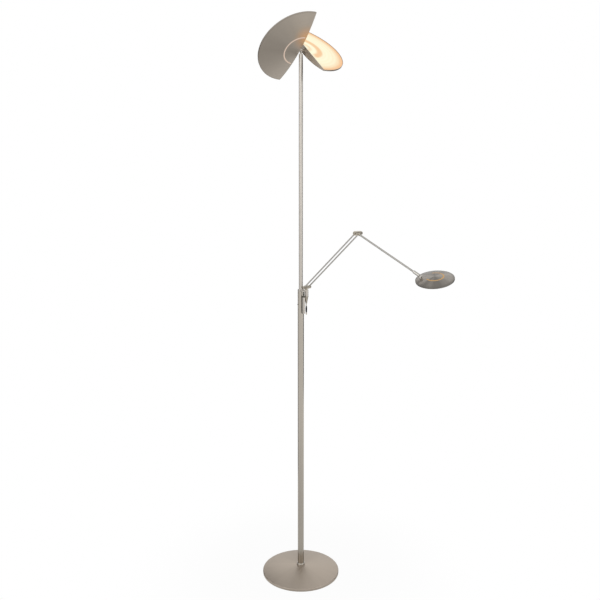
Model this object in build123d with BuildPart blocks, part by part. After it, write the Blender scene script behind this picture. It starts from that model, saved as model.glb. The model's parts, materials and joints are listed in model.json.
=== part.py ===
from build123d import *
import os
from math import asin, cos, degrees, radians, sin, sqrt

os.makedirs("parts", exist_ok=True)

# A torchiere floor lamp: a domed base, a two-stage pole, two half dishes that tilt on one
# axle at the top, and a jointed reading arm at mid height. Millimetres, +Z up, origin on the
# floor under the pole. The viewer's side is -Y.

# ---------------------------------------------------------------- clearances
FIT = 0.05                 # radial play of a pin or shaft in its bore
GAP = 0.3                  # air between pieces that pass each other
SEAT = 0.15                # play round a piece that is let into a slot or shell

# ---------------------------------------------------------------- base
base_radius = 140.0
base_lip_top = 9.0         # top of the upright lip
base_crown = 18.0          # rise of the dome above the lip
base_edge_round = 2.0
base_sheet = 1.5
floor_gap = 1.0            # the cover's edge above the floor
pad_thickness = 2.5
pad_margin = 10.0          # pad edge inside the cover's edge
pad_chamfer = 0.6
boss_radius = 17.0         # flat seat for the pole on the weight
bolt_radius = 5.0
bolt_head_radius = 8.0
bolt_head_height = 6.0
bolt_end_drop = 10.0       # bolt end below the top of the foot plug
washer_radius = 13.0
washer_thickness = 2.0
inlet_bore = 2.2
inlet_radius = 2.9
inlet_flange_radius = 3.6
inlet_flange = 1.2
inlet_reach = 9.0
inlet_round = 0.4
channel_width = 8.0        # lead channel under the weight

# ---------------------------------------------------------------- poles
lower_pole_radius = 11.0
lower_pole_wall = 1.5
lower_pole_top = 1052.0
foot_plug_height = 40.0
plug_chamfer = 1.0
collar_radius = 14.3
collar_height = 8.0
collar_round = 2.5
upper_pole_radius = 7.0
upper_pole_wall = 1.2
upper_pole_top = 1851.0
pole_overlap = 60.0        # length of the upper pole inside the bush
bush_ledge = 4.0

# ---------------------------------------------------------------- bracket at the pole joint
cap_height = 6.5
cap_round = 1.0
lobe_thickness = 4.0
lobe_wall = 3.0
lobe_inset = 1.0           # lobe sides inside the cap's edge
swivel_offset = 19.5       # arm swivel to pole axis
tube_offset_x = 9.0
tube_offset_y = -19.0

# ---------------------------------------------------------------- arm swivel
socket_radius = 7.0
socket_drop = 18.0         # length of the socket under the bracket
swivel_bush_radius = 5.4
post_radius = 4.0
post_collar_radius = 6.5
post_collar_height = 1.2
retainer_height = 3.0
retainer_wall = 0.9

# ---------------------------------------------------------------- dimmers
cone_radius = 7.6
cone_length = 26.0
cone_rim = 2.0
cone_tip_radius = 2.6
stick_radius = 1.5
stick_head_radius = 3.4
stick_head_height = 3.0
stick_bare = 9.0           # stem showing between cone and grip
grip_radius = 2.8
grip_length = 23.0
tip_radius = 2.0
tip_length = 8.0
tip_round = 1.0
tube_radius = 6.2
tube_length = 50.0
tube_wall = 1.0
tube_drop = 15.0           # tube's top below the bracket
hanger_radius = 2.5
hanger_plug = 3.0          # depth of the hanger in the tube
tube_shoulder = 5.0        # height of the tube's tapered top
tube_nose_radius = 3.5
knob_radius = 6.2
knob_length = 12.0
knob_round = 1.0
knob_stub_radius = 3.0     # knob's spindle in the tube
knob_stub_length = 6.0
knob_flutes = 12
flute_length = 9.6
flute_radius = 0.7
clip_drop = 47.0           # tube's standoff and the pole's set screw, below the bracket
clip_radius = 3.0
screw_head_radius = 2.6
screw_head_height = 1.2
screw_azimuth = 205.0      # degrees from +X
screw_radius = 1.9

# ---------------------------------------------------------------- reading arm
arm_azimuth = -40.0        # degrees from +X, towards the viewer
shoulder_rise = 13.5       # shoulder pin above the lower pole
lower_arm_length = 290.6
lower_arm_slope = 42.06
upper_arm_length = 241.4
upper_arm_slope = -27.8
rod_radius = 2.4
rod_spacing = 24.0
upper_rod_radius = 3.0
shoulder_radius = 5.2
shoulder_eye_radius = 6.8  # the post's own eye between the barrels
elbow_radius = 7.4
barrel_width = 7.0
pin_radius = 2.5
pin_head_radius = 3.4
pin_head_height = 1.6
pin_head_round = 0.8
shoulder_knob_radius = 5.6
shoulder_knob_width = 5.0
elbow_knob_radius = 6.2
elbow_knob_width = 6.0
elbow_cap_radius = 4.4
elbow_cap_width = 3.6
elbow_cap_round = 1.2
eye_boss_radius = 4.4      # boss that holds the upper rod
eye_boss_reach = 12.0
rod_socket = 2.2           # depth of a rod's end in its barrel
sleeve_radius = 5.0
sleeve_length = 29.0       # from the sleeve's mouth to the tilt pin
sleeve_chamfer = 0.6
rod_in_sleeve = 14.0
tongue_thickness = 3.6
knuckle_radius = 3.5
tilt_pin_radius = 1.25
pin_rivet = 0.4            # pin end past the cheek
cheek_thickness = 1.8
web_width = 5.6            # cheek below the pin
fork_gap = 1.0

# ---------------------------------------------------------------- reading head
head_roll = 21.8           # turn of the wrist sleeve at rest
head_tilt = 6.8
head_swivel = 41.0
reading_radius = 60.0
reading_lip = 4.0
reading_crown = 10.0
reading_sheet = 1.2
reading_mount = 42.0       # stud to the centre of the head
mount_boss_radius = 4.8
mount_boss_height = 3.4
boss_proud = 0.4           # boss above the dome on its high side
stud_radius = 1.9
stud_nut_radius = 3.6
stud_nut_height = 2.4
stud_thread = 0.6          # thread showing past the nut
yoke_base = 2.1
reading_slot_radius = 27.0
reading_slot_width = 5.0
reading_slot_half_angle = 130.0
reading_slot_turn = -26.0
reading_board_radius = 22.0
reading_board_thickness = 1.6
reading_board_level = 4.2  # underside of the board above the rim
reading_diffuser_thickness = 2.0
reading_diffuser_inset = 0.6
spigot_radius = 4.0
reading_slant = 1.2        # sloping sheet, upright depth over thickness

# ---------------------------------------------------------------- torchiere head
hub_rise = 14.0            # axle above the upper pole
axle_azimuth = 35.1
axle_radius = 2.5
hub_radius = 4.4
neck_radius = 3.8
neck_plug_length = 18.0
neck_cap_height = 1.0
neck_cap_round = 0.6
wall_offset = 9.8          # cut wall to the hub centre
axle_drop = 14.6           # axle below the rim plane
left_tilt = 39.3
right_tilt = 40.5
dish_radius = 139.5
dish_depth = 23.4
dish_lip = 4.2
dish_sheet = 1.2
cut_plate = 1.6
dish_slot_radius = 53.5
dish_slot_width = 4.4
dish_slot_end = 5.0        # slot end to the cut wall
lens_flange = 2.6
lens_thickness = 1.2
ledge_width = 3.0
ledge_thickness = 1.0
diffuser_inset = 1.2       # diffuser face below the rim
diffuser_thickness = 1.6
board_radius = 46.0
board_start = 12.0         # LED board to the cut wall
board_thickness = 1.6
board_post_radius = 2.5
board_post_angle = 38.0
board_post_reach = 30.0
axle_nut_radius = 4.6
axle_nut_height = 4.0
axle_thread = 1.5          # thread showing past the nut
axle_chamfer = 0.4
friction_washer = 0.6
dish_slant = 1.1           # sloping sheet, upright depth over thickness


# ---------------------------------------------------------------- shared shapes
def cap_rise(radius, rise, reach):
    """Height of a spherical cap, of that radius and rise, at a distance from its axis."""
    ball = (radius**2 + rise**2) / (2 * rise)
    return sqrt(ball**2 - reach**2) - (ball - rise)


def disc(plane, radius, height, bore=0.0, mode=Mode.ADD):
    """Round disc, tube or bore standing on a plane."""
    with BuildSketch(plane) as face:
        Circle(radius)
        if bore > 0:
            Circle(bore, mode=Mode.SUBTRACT)
    extrude(face.sketch, amount=height, mode=mode)


def block(plane, width, depth, height, mode=Mode.ADD):
    """Rectangular block standing on a plane."""
    with BuildSketch(plane) as face:
        Rectangle(width, depth)
    extrude(face.sketch, amount=height, mode=mode)


def finish(builder, name):
    builder.part.label = name
    export_step(builder.part, f"parts/{name}.step")


def level(height, x=0.0, y=0.0):
    return Plane(origin=(x, y, height), z_dir=(0, 0, 1))


def turn(direction, line, angle):
    """A direction turned about a line through the origin."""
    return direction.rotate(Axis((0, 0, 0), line), angle)


# ================================================================ BASE
lip_underside = floor_gap
cover_top = base_lip_top + base_crown
weight_radius = base_radius - base_sheet - GAP
weight_edge_top = base_lip_top - base_sheet - base_edge_round
boss_top = cover_top - base_sheet - 2 * GAP
inlet_level = (base_lip_top + floor_gap) / 2
plug_radius = lower_pole_radius - lower_pole_wall - FIT

with BuildPart() as base_cover:
    with BuildSketch(Plane.XZ):
        with BuildLine():
            Polyline((0, lip_underside), (base_radius, lip_underside), (base_radius, base_lip_top))
            ThreePointArc(
                (base_radius, base_lip_top),
                (base_radius / 2, base_lip_top + cap_rise(base_radius, base_crown, base_radius / 2)),
                (0, cover_top),
            )
            Line((0, cover_top), (0, lip_underside))
        make_face()
    revolve(axis=Axis.Z)
    lip_edge = base_cover.edges().filter_by_position(Axis.Z, base_lip_top - FIT, base_lip_top + FIT)
    fillet(lip_edge, radius=base_edge_round)
    offset(amount=-base_sheet, openings=base_cover.faces().sort_by(Axis.Z)[0])
    disc(level(lip_underside), lower_pole_radius + GAP, cover_top, mode=Mode.SUBTRACT)
    inlet_plane = Plane(origin=(0, base_radius - 2 * base_sheet, inlet_level), z_dir=(0, 1, 0))
    disc(inlet_plane, inlet_radius + FIT, 3 * base_sheet, mode=Mode.SUBTRACT)
finish(base_cover, "base_cover")

channel_top = inlet_level + inlet_radius + GAP
with BuildPart() as base_weight:
    with BuildSketch(Plane.XZ):
        with BuildLine():
            Polyline((0, pad_thickness), (weight_radius, pad_thickness), (weight_radius, weight_edge_top))
            ThreePointArc(
                (weight_radius, weight_edge_top),
                (
                    weight_radius / 2,
                    weight_edge_top
                    + cap_rise(weight_radius, boss_top - weight_edge_top, weight_radius / 2),
                ),
                (0, boss_top),
            )
            Line((0, boss_top), (0, pad_thickness))
        make_face()
    revolve(axis=Axis.Z)
    seat_level = weight_edge_top + cap_rise(weight_radius, boss_top - weight_edge_top, boss_radius)
    disc(level(seat_level), boss_radius, boss_top, mode=Mode.SUBTRACT)
    disc(level(pad_thickness), washer_radius + GAP, washer_thickness + bolt_head_height, mode=Mode.SUBTRACT)
    disc(level(pad_thickness), bolt_radius + FIT, boss_top, mode=Mode.SUBTRACT)
    channel_plane = level(pad_thickness, y=weight_radius / 2)
    block(channel_plane, channel_width, weight_radius + GAP, channel_top - pad_thickness, mode=Mode.SUBTRACT)
finish(base_weight, "base_weight")

with BuildPart() as base_pad:
    disc(Plane.XY, base_radius - pad_margin, pad_thickness)
    chamfer(base_pad.edges().group_by(Axis.Z)[0], length=pad_chamfer)
finish(base_pad, "base_pad")

with BuildPart() as cord_inlet_bush:
    flange_plane = Plane(origin=(0, base_radius + inlet_flange, inlet_level), z_dir=(0, -1, 0))
    disc(flange_plane, inlet_flange_radius, inlet_flange)
    disc(flange_plane, inlet_radius, inlet_reach)
    disc(flange_plane, inlet_bore, inlet_reach, mode=Mode.SUBTRACT)
    fillet(cord_inlet_bush.edges().sort_by(Axis.Y)[-1], radius=inlet_round)
finish(cord_inlet_bush, "cord_inlet_bush")

head_level = pad_thickness + bolt_head_height
with BuildPart() as tie_washer:
    disc(level(head_level), washer_radius, washer_thickness, bore=bolt_radius + FIT)
finish(tie_washer, "tie_washer")

plug_top = seat_level + foot_plug_height
with BuildPart() as pole_tie_bolt:
    with BuildSketch(level(pad_thickness + GAP)):
        RegularPolygon(bolt_head_radius, 6)
    extrude(amount=bolt_head_height - GAP)
    disc(level(head_level), bolt_radius, plug_top - head_level - bolt_end_drop)
finish(pole_tie_bolt, "pole_tie_bolt")

with BuildPart() as pole_foot_plug:
    disc(level(seat_level), plug_radius, foot_plug_height, bore=bolt_radius + FIT)
    chamfer(pole_foot_plug.edges().group_by(Axis.Z)[-1], length=plug_chamfer)
finish(pole_foot_plug, "pole_foot_plug")

clip_height = lower_pole_top - clip_drop
screw_out = Vector(cos(radians(screw_azimuth)), sin(radians(screw_azimuth)), 0)
screw_seat = screw_out * lower_pole_radius + Vector(0, 0, clip_height)
screw_entry = Plane(origin=screw_seat, z_dir=screw_out * -1)
with BuildPart() as lower_pole:
    disc(
        level(seat_level),
        lower_pole_radius,
        lower_pole_top - seat_level,
        bore=lower_pole_radius - lower_pole_wall,
    )
    disc(screw_entry, screw_radius + FIT, lower_pole_radius, mode=Mode.SUBTRACT)
finish(lower_pole, "lower_pole")

with BuildPart() as pole_foot_collar:
    disc(level(cover_top), collar_radius, collar_height, bore=lower_pole_radius + FIT)
    outer_rim = pole_foot_collar.edges().group_by(Axis.Z)[-1].sort_by(SortBy.RADIUS)[-1]
    fillet(outer_rim, radius=collar_round)
finish(pole_foot_collar, "pole_foot_collar")

# ================================================================ POLE JOINT
upper_pole_foot = lower_pole_top - pole_overlap
with BuildPart() as pole_joint_bush:
    disc(
        level(upper_pole_foot - bush_ledge),
        plug_radius,
        pole_overlap + bush_ledge,
        bore=upper_pole_radius - upper_pole_wall,
    )
    disc(level(upper_pole_foot), upper_pole_radius + FIT, pole_overlap, mode=Mode.SUBTRACT)
    disc(screw_entry, screw_radius + FIT, lower_pole_radius, mode=Mode.SUBTRACT)
finish(pole_joint_bush, "pole_joint_bush")

with BuildPart() as upper_pole:
    disc(
        level(upper_pole_foot),
        upper_pole_radius,
        upper_pole_top - upper_pole_foot,
        bore=upper_pole_radius - upper_pole_wall,
    )
finish(upper_pole, "upper_pole")

lobe_top = lower_pole_top + lobe_thickness
with BuildPart() as pole_cap_bracket:
    disc(level(lower_pole_top), lower_pole_radius, cap_height)
    fillet(pole_cap_bracket.edges().group_by(Axis.Z)[-1], radius=cap_round)
    for lobe_x, lobe_y, lobe_radius in (
        (swivel_offset, 0.0, socket_radius),
        (tube_offset_x, tube_offset_y, hanger_radius + lobe_wall),
    ):
        with BuildSketch(level(lower_pole_top)) as lobe:
            with BuildLine():
                CenterArc((0, 0), lower_pole_radius - lobe_inset, 0, 360)
                CenterArc((lobe_x, lobe_y), lobe_radius, 0, 360)
            make_hull()
        extrude(amount=lobe_thickness)
    disc(level(lower_pole_top), upper_pole_radius + FIT, cap_height, mode=Mode.SUBTRACT)
    disc(level(lower_pole_top, x=swivel_offset), post_radius + GAP, lobe_thickness, mode=Mode.SUBTRACT)
finish(pole_cap_bracket, "pole_cap_bracket")

with BuildPart() as pole_set_screw:
    disc(screw_entry.offset(-screw_head_height), screw_head_radius, screw_head_height)
    fillet(pole_set_screw.edges().sort_by(Axis(screw_seat, screw_out))[-1], radius=screw_head_height / 2)
    disc(screw_entry, screw_radius, lower_pole_radius - upper_pole_radius - FIT)
finish(pole_set_screw, "pole_set_screw")

# ================================================================ SWIVEL SOCKET
socket_foot = lower_pole_top - socket_drop
with BuildPart() as swivel_socket:
    disc(
        level(socket_foot, x=swivel_offset),
        socket_radius,
        socket_drop,
        bore=swivel_bush_radius + FIT,
    )
finish(swivel_socket, "swivel_socket")

bush_foot = socket_foot + retainer_height + 2 * GAP
with BuildPart() as swivel_bush:
    disc(
        level(bush_foot, x=swivel_offset),
        swivel_bush_radius,
        lower_pole_top - bush_foot,
        bore=post_radius + FIT,
    )
finish(swivel_bush, "swivel_bush")

# ================================================================ STICK DIMMER
cone_foot = socket_foot - cone_length
stick_top = socket_foot - stick_head_height
with BuildPart() as stick_cone:
    with BuildSketch(Plane.XZ):
        with BuildLine():
            Polyline(
                (swivel_offset, cone_foot),
                (swivel_offset + cone_tip_radius, cone_foot),
                (swivel_offset + socket_radius - GAP, socket_foot - cone_rim),
                (swivel_offset + cone_radius, socket_foot - cone_rim),
                (swivel_offset + cone_radius, socket_foot),
                (swivel_offset, socket_foot),
                close=True,
            )
        make_face()
    revolve(axis=Axis((swivel_offset, 0, 0), (0, 0, 1)))
    disc(level(cone_foot, x=swivel_offset), stick_radius + FIT, cone_length, mode=Mode.SUBTRACT)
    head_pocket = stick_head_radius + GAP
    pocket_plane = level(stick_top - GAP, x=swivel_offset)
    disc(pocket_plane, head_pocket, stick_head_height + GAP, mode=Mode.SUBTRACT)
finish(stick_cone, "stick_cone")

grip_top = cone_foot - stick_bare
grip_foot = grip_top - grip_length
with BuildPart() as stick_stem:
    disc(level(grip_foot, x=swivel_offset), stick_radius, stick_top - grip_foot)
    disc(level(stick_top, x=swivel_offset), stick_head_radius, stick_head_height - GAP)
    disc(level(grip_foot - tip_length, x=swivel_offset), tip_radius, tip_length)
    fillet(stick_stem.edges().group_by(Axis.Z)[0], radius=tip_round)
finish(stick_stem, "stick_stem")

with BuildPart() as stick_grip:
    with BuildSketch(Plane.XZ):
        with BuildLine():
            Line((swivel_offset, grip_foot), (swivel_offset + tip_radius, grip_foot))
            ThreePointArc(
                (swivel_offset + tip_radius, grip_foot),
                (swivel_offset + grip_radius, (grip_foot + grip_top) / 2),
                (swivel_offset + tip_radius, grip_top),
            )
            Polyline(
                (swivel_offset + tip_radius, grip_top),
                (swivel_offset, grip_top),
                (swivel_offset, grip_foot),
            )
        make_face()
    revolve(axis=Axis((swivel_offset, 0, 0), (0, 0, 1)))
    disc(level(grip_foot, x=swivel_offset), stick_radius, grip_length, mode=Mode.SUBTRACT)
finish(stick_grip, "stick_grip")

# ================================================================ DIMMER TUBE
tube_top = lower_pole_top - tube_drop
tube_foot = tube_top - tube_length
tube_mouth = tube_top - tube_shoulder
tube_bore = tube_radius - tube_wall
with BuildPart() as dimmer_tube:
    tube_plane = level(tube_foot, tube_offset_x, tube_offset_y)
    disc(tube_plane, tube_radius, tube_mouth - tube_foot, bore=tube_bore)
finish(dimmer_tube, "dimmer_tube")

with BuildPart() as tube_hanger:
    plug_plane = level(tube_mouth - hanger_plug, tube_offset_x, tube_offset_y)
    disc(plug_plane, tube_bore - FIT, hanger_plug)
    with BuildSketch(level(tube_mouth, tube_offset_x, tube_offset_y)):
        Circle(tube_radius)
    with BuildSketch(level(tube_top, tube_offset_x, tube_offset_y)):
        Circle(tube_nose_radius)
    loft(ruled=True)
    disc(level(tube_top, tube_offset_x, tube_offset_y), hanger_radius, lower_pole_top - tube_top)
finish(tube_hanger, "tube_hanger")

with BuildPart() as dimmer_knob:
    knob_foot = tube_foot - GAP - knob_length
    disc(level(knob_foot, tube_offset_x, tube_offset_y), knob_radius, knob_length)
    fillet(dimmer_knob.edges().group_by(Axis.Z)[0], radius=knob_round)
    with BuildSketch(level(knob_foot, tube_offset_x, tube_offset_y)) as flutes:
        with PolarLocations(knob_radius + flute_radius / 3, knob_flutes):
            Circle(flute_radius)
    extrude(amount=flute_length, mode=Mode.SUBTRACT)
    disc(level(tube_foot - GAP, tube_offset_x, tube_offset_y), knob_stub_radius, knob_stub_length)
finish(dimmer_knob, "dimmer_knob")

with BuildPart() as dimmer_core:
    core_level = tube_foot + knob_stub_length
    core_plane = level(core_level, tube_offset_x, tube_offset_y)
    disc(core_plane, tube_bore - FIT, tube_mouth - hanger_plug - GAP - core_level)
finish(dimmer_core, "dimmer_core")

tube_reach = sqrt(tube_offset_x**2 + tube_offset_y**2)
with BuildPart() as tube_standoff:
    toward_tube = (tube_offset_x, tube_offset_y, 0)
    standoff_plane = Plane(origin=(0, 0, clip_height), z_dir=toward_tube)
    disc(standoff_plane, clip_radius, tube_reach)
    disc(level(clip_height - clip_radius), lower_pole_radius, 2 * clip_radius, mode=Mode.SUBTRACT)
    bite = level(clip_height - clip_radius, tube_offset_x, tube_offset_y)
    disc(bite, tube_radius, 2 * clip_radius, mode=Mode.SUBTRACT)
finish(tube_standoff, "tube_standoff")

# ================================================================ READING ARM
outward = Vector(cos(radians(arm_azimuth)), sin(radians(arm_azimuth)), 0)
hinge = Vector(0, 0, 1).cross(outward)
upright = Vector(0, 0, 1)


def along(slope):
    """Unit direction in the arm's plane at a slope above the level."""
    return outward * cos(radians(slope)) + upright * sin(radians(slope))


def across(centre, offset):
    """Plane square to the hinge line, offset along it from a joint's centre."""
    return Plane(origin=centre + hinge * offset, x_dir=outward, z_dir=hinge)


shoulder_height = lower_pole_top + shoulder_rise
shoulder = Vector(swivel_offset, 0, shoulder_height)
elbow = shoulder + along(lower_arm_slope) * lower_arm_length
sleeve_mouth = elbow + along(upper_arm_slope) * upper_arm_length
wrist = sleeve_mouth + along(upper_arm_slope) * sleeve_length
half_spacing = rod_spacing / 2
barrel_inner = half_spacing - barrel_width / 2
barrel_outer = half_spacing + barrel_width / 2
eye_half = barrel_inner - GAP

with BuildPart() as swivel_post:
    post_foot = socket_foot + GAP
    collar_foot = lobe_top + GAP
    disc(level(post_foot, x=swivel_offset), post_radius, collar_foot - post_foot)
    disc(level(collar_foot, x=swivel_offset), post_collar_radius, post_collar_height)
    disc(across(shoulder, -eye_half), shoulder_eye_radius, 2 * eye_half)
    stalk_height = shoulder_height - collar_foot
    block(level(collar_foot, x=swivel_offset), 2 * post_radius, 2 * post_radius, stalk_height)
    disc(across(shoulder, -eye_half), pin_radius + FIT, 2 * eye_half, mode=Mode.SUBTRACT)
    groove_plane = level(post_foot, x=swivel_offset)
    disc(groove_plane, post_radius, retainer_height, bore=post_radius - retainer_wall, mode=Mode.SUBTRACT)
finish(swivel_post, "swivel_post")

with BuildPart() as post_retainer:
    retainer_plane = level(post_foot, x=swivel_offset)
    retainer_outer = swivel_bush_radius - GAP
    disc(retainer_plane, retainer_outer, retainer_height, bore=post_radius - retainer_wall + FIT)
finish(post_retainer, "post_retainer")

with BuildPart() as shoulder_pin:
    pin_start = -barrel_outer - GAP - pin_head_height
    disc(across(shoulder, pin_start), pin_head_radius, pin_head_height)
    fillet(shoulder_pin.edges().sort_by(Axis(shoulder, hinge))[0], radius=pin_head_round)
    pin_end = barrel_outer + GAP + shoulder_knob_width / 2
    disc(across(shoulder, pin_start), pin_radius, pin_end - pin_start)
finish(shoulder_pin, "shoulder_pin")


def fluted_knob(centre, start, radius, width, bore):
    """Round knob with fluted side, bored from its inner face."""
    disc(across(centre, start), radius, width)
    with BuildSketch(across(centre, start)) as flutes:
        with PolarLocations(radius + flute_radius / 3, knob_flutes):
            Circle(flute_radius)
    extrude(flutes.sketch, amount=width, mode=Mode.SUBTRACT)
    disc(across(centre, start), bore, width / 2 + GAP, mode=Mode.SUBTRACT)


with BuildPart() as shoulder_knob:
    fluted_knob(shoulder, barrel_outer + GAP, shoulder_knob_radius, shoulder_knob_width, pin_radius + FIT)
finish(shoulder_knob, "shoulder_knob")


def rod_ends(centre, radius, direction):
    """Two barrels on one joint, each bored for the pin and for its rod."""
    for side in (-1, 1):
        start = side * half_spacing - barrel_width / 2
        disc(across(centre, start), radius, barrel_width)
        disc(across(centre, start), pin_radius + FIT, barrel_width, mode=Mode.SUBTRACT)
        root = centre + hinge * (side * half_spacing) + direction * (radius - rod_socket + GAP)
        disc(Plane(origin=root, z_dir=direction), rod_radius + FIT, rod_socket, mode=Mode.SUBTRACT)


with BuildPart() as shoulder_barrels:
    rod_ends(shoulder, shoulder_radius, along(lower_arm_slope))
finish(shoulder_barrels, "shoulder_barrels")

with BuildPart() as elbow_barrels:
    rod_ends(elbow, elbow_radius, along(lower_arm_slope) * -1)
finish(elbow_barrels, "elbow_barrels")

with BuildPart() as lower_arm_rods:
    run = along(lower_arm_slope)
    rod_start = shoulder_radius - rod_socket + GAP
    rod_end = lower_arm_length - (elbow_radius - rod_socket + GAP)
    for side in (-1, 1):
        foot = shoulder + hinge * (side * half_spacing) + run * rod_start
        disc(Plane(origin=foot, z_dir=run), rod_radius, rod_end - rod_start)
finish(lower_arm_rods, "lower_arm_rods")

with BuildPart() as elbow_eye:
    disc(across(elbow, -eye_half), elbow_radius, 2 * eye_half)
    boss_direction = along(upper_arm_slope)
    disc(Plane(origin=elbow, z_dir=boss_direction), eye_boss_radius, eye_boss_reach)
    disc(across(elbow, -eye_half), pin_radius + FIT, 2 * eye_half, mode=Mode.SUBTRACT)
    rod_root = elbow + boss_direction * (elbow_radius - rod_socket + GAP)
    socket = Plane(origin=rod_root, z_dir=boss_direction)
    disc(socket, upper_rod_radius + FIT, eye_boss_reach, mode=Mode.SUBTRACT)
finish(elbow_eye, "elbow_eye")

with BuildPart() as elbow_pin:
    cap_start = -barrel_outer - elbow_cap_width
    disc(across(elbow, cap_start), elbow_cap_radius, elbow_cap_width)
    fillet(elbow_pin.edges().sort_by(Axis(elbow, hinge))[0], radius=elbow_cap_round)
    disc(across(elbow, cap_start), pin_radius, barrel_outer + GAP + elbow_knob_width / 2 - cap_start)
finish(elbow_pin, "elbow_pin")

with BuildPart() as elbow_knob:
    fluted_knob(elbow, barrel_outer + GAP, elbow_knob_radius, elbow_knob_width, pin_radius + FIT)
finish(elbow_knob, "elbow_knob")

with BuildPart() as upper_arm_rod:
    rod_plane = Plane(origin=rod_root, z_dir=along(upper_arm_slope))
    rod_reach = upper_arm_length - (elbow_radius - rod_socket + GAP) + rod_in_sleeve
    disc(rod_plane, upper_rod_radius, rod_reach)
finish(upper_arm_rod, "upper_arm_rod")

# ================================================================ WRIST
arm_line = along(upper_arm_slope)
rolled_hinge = turn(hinge, arm_line, head_roll)
tongue_reach = knuckle_radius + fork_gap
with BuildPart() as wrist_sleeve:
    sleeve_plane = Plane(origin=sleeve_mouth, x_dir=rolled_hinge, z_dir=arm_line)
    disc(sleeve_plane, sleeve_radius, sleeve_length - tongue_reach)
    chamfer(wrist_sleeve.edges().filter_by(GeomType.CIRCLE), length=sleeve_chamfer)
    tongue_plane = sleeve_plane.offset(sleeve_length - 2 * tongue_reach)
    block(tongue_plane, tongue_thickness, 2 * knuckle_radius, 2 * tongue_reach)
    eye_plane = Plane(origin=wrist - rolled_hinge * (tongue_thickness / 2), z_dir=rolled_hinge)
    disc(eye_plane, knuckle_radius, tongue_thickness)
    disc(eye_plane, tilt_pin_radius + FIT, tongue_thickness, mode=Mode.SUBTRACT)
    disc(sleeve_plane, upper_rod_radius + FIT, rod_in_sleeve + GAP, mode=Mode.SUBTRACT)
finish(wrist_sleeve, "wrist_sleeve")

# Head frame: normal to the head's rim plane, and a reach from the mount to the head's centre.
# The head tilts about the rolled hinge and then swivels about its own normal.
tilted_up = turn(upright, hinge, head_tilt)
head_normal = turn(tilted_up, arm_line, head_roll)
tilted_out = turn(outward, hinge, head_tilt)
rolled_out = turn(tilted_out, arm_line, head_roll)
head_reach = turn(rolled_out, head_normal, head_swivel)

boss_reach = reading_mount - mount_boss_radius
boss_level = reading_lip + cap_rise(reading_radius, reading_crown, boss_reach) + boss_proud
yoke_level = boss_level + GAP / 3
nut_level = boss_level - mount_boss_height - GAP / 3 - stud_nut_height
pin_level = yoke_level + yoke_base + GAP + knuckle_radius
head_centre = wrist - head_normal * pin_level + head_reach * reading_mount
head_plane = Plane(origin=head_centre, x_dir=head_reach, z_dir=head_normal)
mount_plane = Plane(origin=wrist - head_normal * pin_level, x_dir=rolled_hinge, z_dir=head_normal)

cheek_offset = tongue_thickness / 2 + GAP / 2
with BuildPart() as head_yoke:
    disc(mount_plane.offset(yoke_level), mount_boss_radius, yoke_base)
    for side in (-1, 1):
        cheek_start = side * cheek_offset - (cheek_thickness if side < 0 else 0)
        cheek_root = wrist + rolled_hinge * cheek_start
        cheek_plane = Plane(origin=cheek_root, x_dir=head_normal, z_dir=rolled_hinge)
        disc(cheek_plane, knuckle_radius, cheek_thickness)
        web_centre = cheek_root - head_normal * ((pin_level - yoke_level) / 2)
        web = Plane(origin=web_centre, x_dir=head_normal, z_dir=rolled_hinge)
        block(web, pin_level - yoke_level, web_width, cheek_thickness)
        disc(cheek_plane, tilt_pin_radius + FIT, cheek_thickness, mode=Mode.SUBTRACT)
    stud_foot = nut_level - stud_thread
    disc(mount_plane.offset(stud_foot), stud_radius, yoke_level - stud_foot)
finish(head_yoke, "head_yoke")

with BuildPart() as tilt_pin:
    pin_half = cheek_offset + cheek_thickness + pin_rivet
    pin_plane = Plane(origin=wrist - rolled_hinge * pin_half, z_dir=rolled_hinge)
    disc(pin_plane, tilt_pin_radius, 2 * pin_half)
finish(tilt_pin, "tilt_pin")

# ================================================================ READING HEAD
apex = reading_lip + reading_crown


def reading_shell(reach):
    """Outer height of the reading head above its rim plane."""
    return reading_lip + cap_rise(reading_radius, reading_crown, reach)


profile_plane = Plane(
    origin=head_centre,
    x_dir=head_reach,
    z_dir=head_reach.cross(head_normal),
)
head_axis = Axis(head_centre, head_normal)
inner_radius = reading_radius - reading_sheet
inner_apex = apex - reading_sheet
inner_crown = reading_crown - reading_sheet
with BuildPart() as reading_shade:
    with BuildSketch(profile_plane):
        with BuildLine():
            Polyline((inner_radius, 0), (reading_radius, 0), (reading_radius, reading_lip))
            ThreePointArc(
                (reading_radius, reading_lip),
                (reading_radius / 2, reading_shell(reading_radius / 2)),
                (0, apex),
            )
            Line((0, apex), (0, inner_apex))
            ThreePointArc(
                (0, inner_apex),
                (inner_radius / 2, reading_lip + cap_rise(inner_radius, inner_crown, inner_radius / 2)),
                (inner_radius, reading_lip),
            )
            Line((inner_radius, reading_lip), (inner_radius, 0))
        make_face()
    revolve(axis=head_axis)
    disc(mount_plane.offset(boss_level - mount_boss_height), mount_boss_radius, mount_boss_height)
    disc(mount_plane, stud_radius + FIT, boss_level, mode=Mode.SUBTRACT)
    slot_start = reading_slot_turn - reading_slot_half_angle
    slot_plane = Plane(
        origin=head_centre,
        x_dir=turn(head_reach, head_normal, slot_start),
        z_dir=turn(head_reach, head_normal, slot_start).cross(head_normal),
    )
    with BuildSketch(slot_plane):
        with Locations((reading_slot_radius, apex)):
            Rectangle(reading_slot_width, 2 * reading_crown)
    revolve(axis=head_axis, revolution_arc=2 * reading_slot_half_angle, mode=Mode.SUBTRACT)
finish(reading_shade, "reading_shade")


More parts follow.
